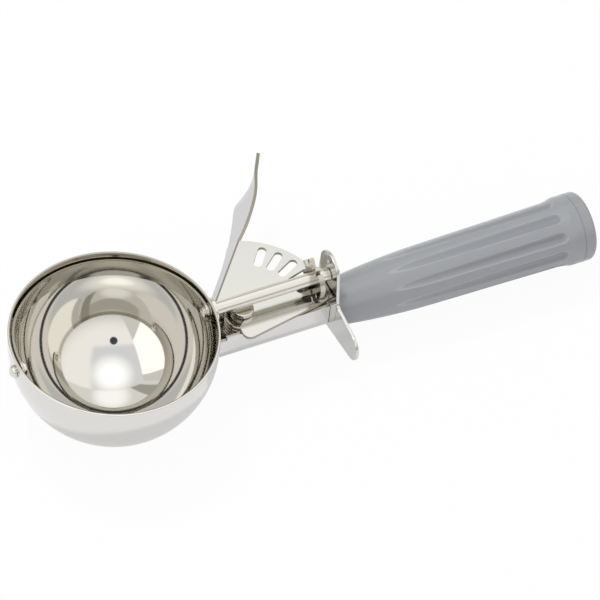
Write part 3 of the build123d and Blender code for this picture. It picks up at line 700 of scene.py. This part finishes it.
SHANK_EDGE = 0.15 * MM

for name, node in (("pressed_shank", "shank"), ("shank_end_socket", "shank_socket")):
    piece = merged(name, node)
    soften(piece, SHANK_EDGE)
    finish_piece(piece, node, sheet_steel)


# ---------------------------------------------------------------- guard plate
# Blanked from flat stainless sheet and tumbled: a tab with a hanging hole above the shaft,
# a finger wing at the side. The tang is riveted into it.

GUARD_EDGE = 0.22 * MM

guard = merged("finger_guard", "guard_plate")
soften(guard, GUARD_EDGE)
finish_piece(guard, "guard_plate", sheet_steel)


# ---------------------------------------------------------------- handle
# Injection moulded grey polypropylene over the tang, satin from a fine spark-eroded mould.
# Ten long flutes run out towards the neck, and a pressed-in cap closes the collar.

NECK_R = 7.9 * MM
SHOULDER_AT = 36.6 * MM
SHOULDER_R = 10.9 * MM
GRIP_R = 11.75 * MM
COLLAR_R = 12.6 * MM
COLLAR_LENGTH = 4.0 * MM
COLLAR_FLARE = 5.0 * MM
SEAM_CHAMFER = 0.3 * MM
TANG_HOLE_R = 3.02 * MM
POCKET_R = 6.8 * MM
POCKET_DEPTH = 17.1 * MM
POCKET_WALL = 0.5 * MM
FLUTES = 10
FLUTE_TURN = radians(66.4)
FLUTE_CUTTER_R = 3.2 * MM
FLUTE_NEAR_R = 10.1 * MM
FLUTE_DEPTH = 1.0 * MM
FLUTE_LIP = 0.12 * MM
HANDLE_RINGS = 150
HANDLE_STEPS = 280
MOULD_GRAIN = 0.3 * MM
MOULD_RELIEF = 0.01 * MM
MOULD_STRENGTH = 0.3
FLOW_WIDTH = 6 * MM
FLOW_STRETCH = 0.15
GRIP_ROUGH = (0.13, 0.21)
GRIP_IOR = 1.49
GRIP_GREY, STREAK_GREY = "#989BA0", "#A0A2A6"
PAINTED_FLUTE_SHADE_GREY = "#8F9298"
PAINTED_LIP_HIGHLIGHT_GREY = "#A8AAAE"
# Shares of a flute's depth where the painted shade on its floor comes in, and where the painted
# highlight on its lip comes and goes.
FLUTE_SHADE_FROM, FLUTE_SHADE_FULL = 0.1, 0.8
LIP_FROM, LIP_FULL, LIP_SPENT, LIP_END = 0.0, 0.03, 0.08, 0.2

handle_low, handle_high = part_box("handle")
HANDLE_X = handle_low.x
HANDLE_LENGTH = handle_high.x - handle_low.x
handle_axis = Vector((HANDLE_X, (handle_low.y + handle_high.y) / 2,
                      (handle_low.z + handle_high.z) / 2))
FLARE_X = HANDLE_LENGTH - COLLAR_LENGTH - COLLAR_FLARE


def arc_radius(x, x0, r0, x1, r1, slope):
    """Radius at x on the arc that leaves (x1, r1) with the given slope and ends at (x0, r0)."""
    # The arc's centre lies on the normal at (x1, r1) and is equally far from both ends.
    nx, nr = slope, -1.0
    dx, dr = x0 - x1, r0 - r1
    far = (dx * dx + dr * dr) / (2 * (nx * dx + nr * dr))
    cx, cr = x1 + nx * far, r1 + nr * far
    size = abs(far) * hypot(nx, nr)
    root = sqrt(max(size * size - (x - cx) ** 2, 0))
    return cr + root if far > 0 else cr - root


def grip_radius(x):
    """Radius of the grip before its flutes are cut."""
    slope = (GRIP_R - SHOULDER_R) / (FLARE_X - SHOULDER_AT)
    if x < SHOULDER_AT:
        return arc_radius(x, 0, NECK_R, SHOULDER_AT, SHOULDER_R, slope)
    if x < FLARE_X:
        return SHOULDER_R + slope * (x - SHOULDER_AT)
    if x < FLARE_X + COLLAR_FLARE:
        return arc_radius(x, FLARE_X + COLLAR_FLARE, COLLAR_R, FLARE_X, GRIP_R, slope)
    return COLLAR_R - max(x - (HANDLE_LENGTH - SEAM_CHAMFER), 0)


def fluted_radius(x, angle):
    """Radius with the nearest flute cut in, its lips blended as a mould's are."""
    plain = grip_radius(x)
    pitch = 2 * pi / FLUTES
    aside = (angle - FLUTE_TURN + pitch / 2) % pitch - pitch / 2
    floor_r = FLUTE_NEAR_R + (GRIP_R - FLUTE_DEPTH - FLUTE_NEAR_R) * min(x / FLARE_X, 1)
    centre_r = floor_r + FLUTE_CUTTER_R
    spent = FLUTE_CUTTER_R ** 2 - max(x - FLARE_X, 0) ** 2 - (centre_r * sin(aside)) ** 2
    if spent <= 0:
        return plain
    cut = centre_r * cos(aside) - sqrt(spent)
    # A smooth minimum of the two surfaces rounds the lip.
    share = min(max((plain - cut + FLUTE_LIP) / (2 * FLUTE_LIP), 0), 1)
    return plain + (cut - plain) * share - FLUTE_LIP * share * (1 - share)


def handle_section():
    """Half section from the tang hole round the outside and back through the nut pocket."""
    places = [(0, TANG_HOLE_R)]
    stops = [HANDLE_LENGTH * k / HANDLE_RINGS for k in range(HANDLE_RINGS)]
    stops += [HANDLE_LENGTH - SEAM_CHAMFER, HANDLE_LENGTH]
    places += [(x, grip_radius(x)) for x in sorted(stops)]
    seat = HANDLE_LENGTH - POCKET_DEPTH
    places += [(HANDLE_LENGTH, POCKET_R), (seat, POCKET_R), (seat, TANG_HOLE_R), (0, TANG_HOLE_R)]
    return [handle_axis + Vector((x, reach, 0)) for x, reach in places]


# Grey polypropylene, injection moulded: a satin sheen that varies in long faint streaks, as
# the plastic flowed along the grip. The flutes' floors are darkened by painted shade, and their
# lips lightened by a painted highlight. The mould's spark grain is drawn at 0.3 mm, coarser than
# it is.
grip = bpy.data.materials.new("moulded_grey_polypropylene")
tree = empty_tree(grip)
place = add(tree, "ShaderNodeTexCoord").outputs["Object"]
fine = add(tree, "ShaderNodeTexNoise", links={
    "Vector": place, "Scale": 1 / MOULD_GRAIN, "Detail": 2.0}).outputs["Fac"]
flow = add(tree, "ShaderNodeMapping", links={
    "Vector": place, "Scale": (FLOW_STRETCH, 1, 1)}).outputs[0]
wide = add(tree, "ShaderNodeTexNoise", links={
    "Vector": flow, "Scale": 1 / FLOW_WIDTH, "Detail": 2.0}).outputs["Fac"]
colour = add(tree, "ShaderNodeMixRGB", links={
    "Fac": wide, "Color1": linear(GRIP_GREY), "Color2": linear(STREAK_GREY)}).outputs[0]
# Painted shade darkens the flutes' floors and a painted highlight lightens their lips.
groove = add(tree, "ShaderNodeAttribute", {"attribute_name": "groove"}).outputs["Fac"]
painted_flute_shade = add(tree, "ShaderNodeMapRange", {"interpolation_type": "SMOOTHSTEP"}, {
    "Value": groove, "From Min": FLUTE_SHADE_FROM, "From Max": FLUTE_SHADE_FULL}).outputs[0]
colour = add(tree, "ShaderNodeMixRGB", links={
    "Fac": painted_flute_shade, "Color1": colour, "Color2": linear(PAINTED_FLUTE_SHADE_GREY)}).outputs[0]
lip = add(tree, "ShaderNodeMapRange", {"interpolation_type": "SMOOTHSTEP"}, {
    "Value": groove, "From Min": LIP_FROM, "From Max": LIP_FULL}).outputs[0]
lip = add(tree, "ShaderNodeMapRange", {"interpolation_type": "SMOOTHSTEP"}, {
    "Value": groove, "From Min": LIP_END, "From Max": LIP_SPENT, "To Max": lip}).outputs[0]
colour = add(tree, "ShaderNodeMixRGB", links={
    "Fac": lip, "Color1": colour, "Color2": linear(PAINTED_LIP_HIGHLIGHT_GREY)}).outputs[0]
rough = add(tree, "ShaderNodeMapRange", links={
    "Value": wide, "To Min": GRIP_ROUGH[0], "To Max": GRIP_ROUGH[1]})
bump = add(tree, "ShaderNodeBump", links={
    "Height": fine, "Strength": MOULD_STRENGTH, "Distance": MOULD_RELIEF})
shader = add(tree, "ShaderNodeBsdfPrincipled", links={
    "Base Color": colour, "Roughness": rough.outputs[0], "IOR": GRIP_IOR,
    "Normal": bump.outputs[0]})
add(tree, "ShaderNodeOutputMaterial", links={"Surface": shader.outputs[0]})

handle = turned("fluted_grip", handle_section(), handle_axis, (1, 0, 0), HANDLE_STEPS)
depths = [0.0] * len(handle.data.vertices)
for vertex in handle.data.vertices:
    off = vertex.co - handle_axis
    if hypot(off.y, off.z) > POCKET_R + POCKET_WALL and off.x < HANDLE_LENGTH - COLLAR_LENGTH:
        angle = atan2(off.z, off.y)
        size = fluted_radius(off.x, angle)
        vertex.co = handle_axis + Vector((off.x, size * cos(angle), size * sin(angle)))
        depths[vertex.index] = (grip_radius(off.x) - size) / FLUTE_DEPTH
handle.data.attributes.new("groove", "FLOAT", "POINT").data.foreach_set("value", depths)
finish_piece(handle, "handle", grip, sharp=25)
dress("handle_end_cap", grip)


# ---------------------------------------------------------------- tang
# Zinc plated steel rod riveted into the guard, with a washer and a hexagon nut that pull
# the grip against the plate. All three are shut inside the handle.

# Steel with a thin coat of zinc, laid on in a barrel and passivated: a cool, cloudy grey
# with no clear reflection. Its crystals are drawn at 0.3 mm, coarser than they are.
zinc = steel("zinc_plated_steel", "#B8BBBD", rough=(0.25, 0.4), grain=0.3 * MM,
             relief=0.004 * MM)
for node in ("tang", "tang_washer", "tang_nut"):
    dress(node, zinc)
